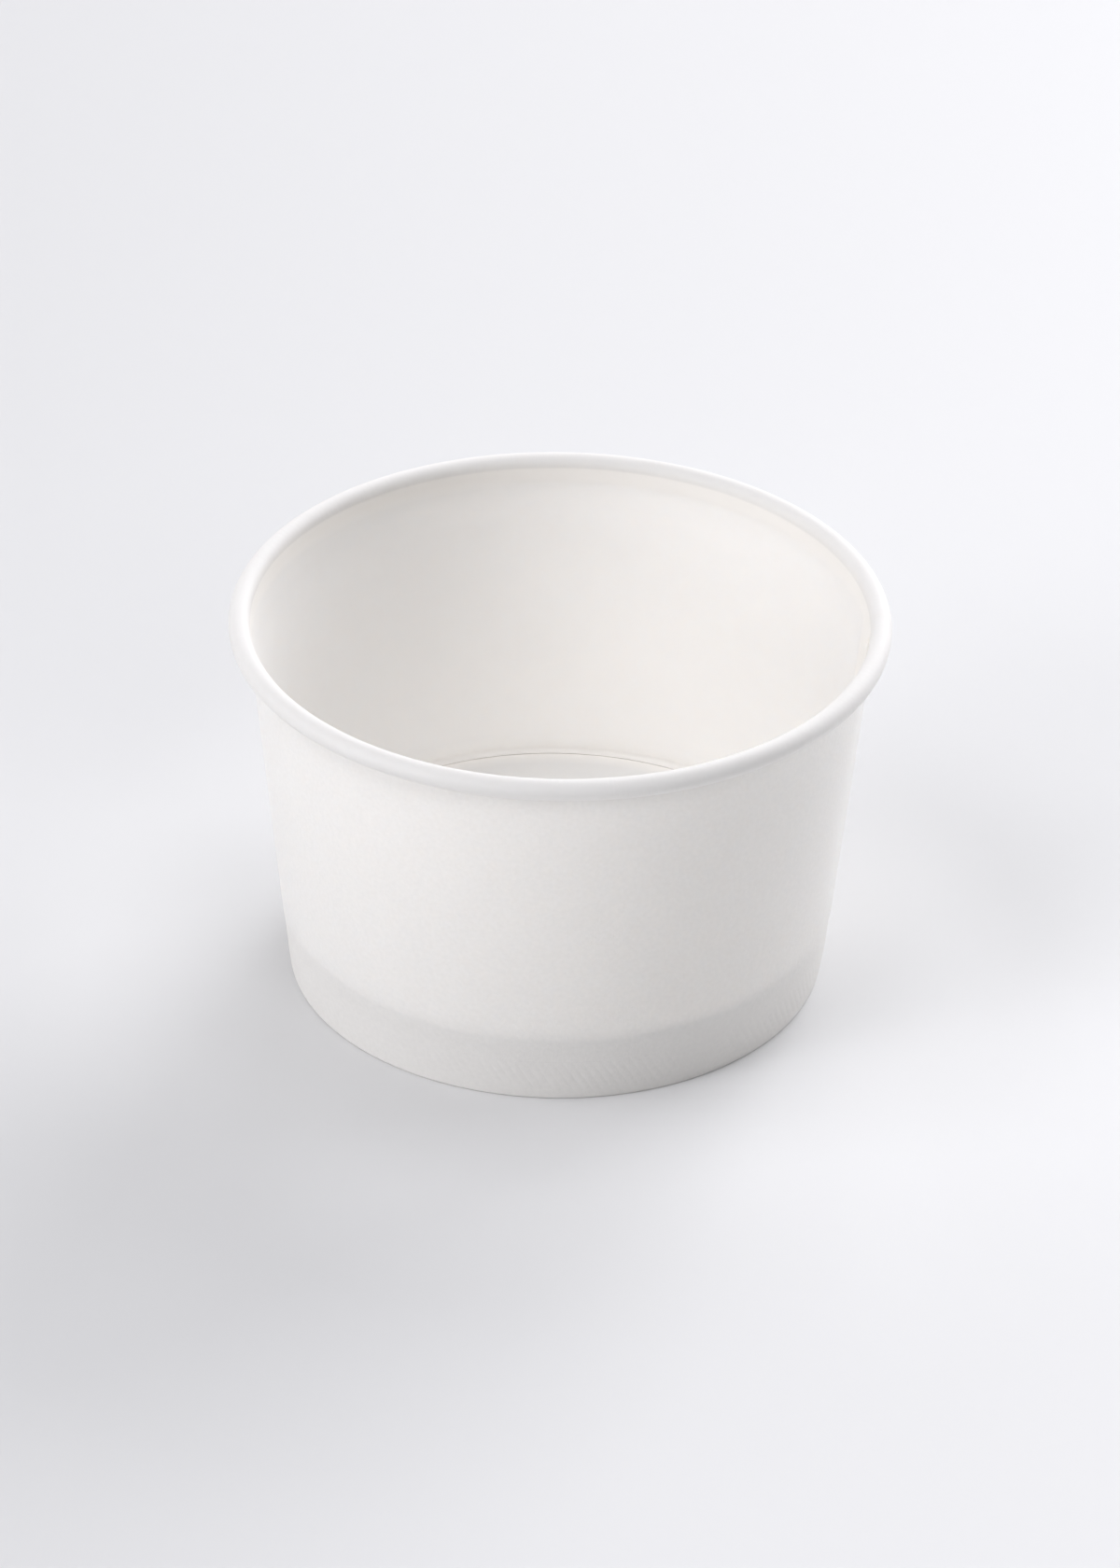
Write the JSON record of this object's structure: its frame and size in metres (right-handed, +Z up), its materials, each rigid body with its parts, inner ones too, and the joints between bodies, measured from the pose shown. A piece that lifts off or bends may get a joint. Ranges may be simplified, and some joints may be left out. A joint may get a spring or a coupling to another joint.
{
  "type": "paper food container",
  "caption": "Round, tapered paperboard food tub with a rolled rim, a lapped side seam and a recessed bottom. It holds soup, salad or ice cream, and takes a press-on lid.",
  "frame": {"origin": "centre of the base, on the surface that the container stands on", "axes": "+Z up along the container's axis, +X towards the side seam"},
  "size_m": [0.115, 0.115, 0.07],
  "materials": {
    "side_board": "white board, film-coated, satin",
    "bottom_board": "white board, film-coated, satin"
  },
  "bodies": {
    "root": {"side_wall": "side_board", "bottom_disc": "bottom_board"}
  },
  "joints": []
}
